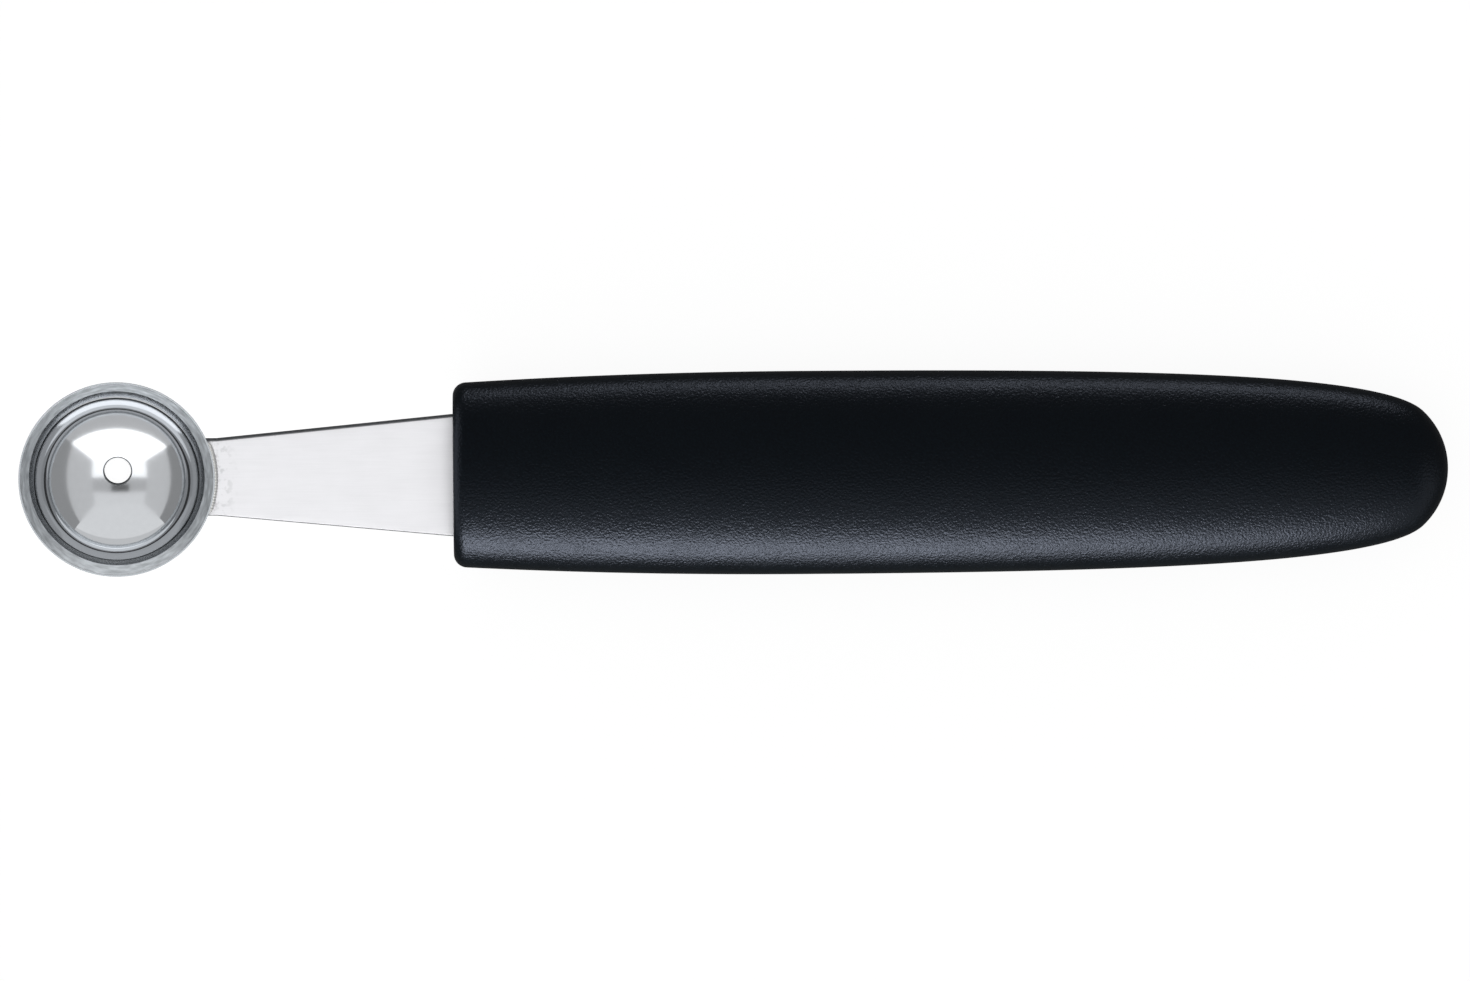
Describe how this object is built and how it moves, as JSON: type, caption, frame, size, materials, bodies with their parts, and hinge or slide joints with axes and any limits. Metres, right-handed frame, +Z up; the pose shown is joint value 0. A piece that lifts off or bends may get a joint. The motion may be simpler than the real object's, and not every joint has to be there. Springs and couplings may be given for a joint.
{
  "type": "melon baller",
  "caption": "Melon baller: a polished round scoop with a vent hole, welded to a tapered flat shank whose tang is moulded into a smooth oval handle.",
  "frame": {"origin": "on the table, under the middle of the tool's box, with the tool lying on its back", "axes": "+X from the scoop to the butt of the handle, +Y across the tool, +Z up out of the scoop"},
  "size_m": [0.1598, 0.0229, 0.012],
  "materials": {
    "polished_steel": "stainless steel, mirror polished inside, with fine turned lines on the ground rim",
    "satin_steel": "stainless steel strip with a fine satin grain",
    "weld_steel": "bright polished weld",
    "handle_plastic": "black polypropylene with a fine spark-eroded texture and a soft sheen"
  },
  "bodies": {
    "root": {"scoop_bowl": "polished_steel", "shank": "satin_steel", "weld_seam": "weld_steel", "handle": "handle_plastic"}
  },
  "joints": []
}
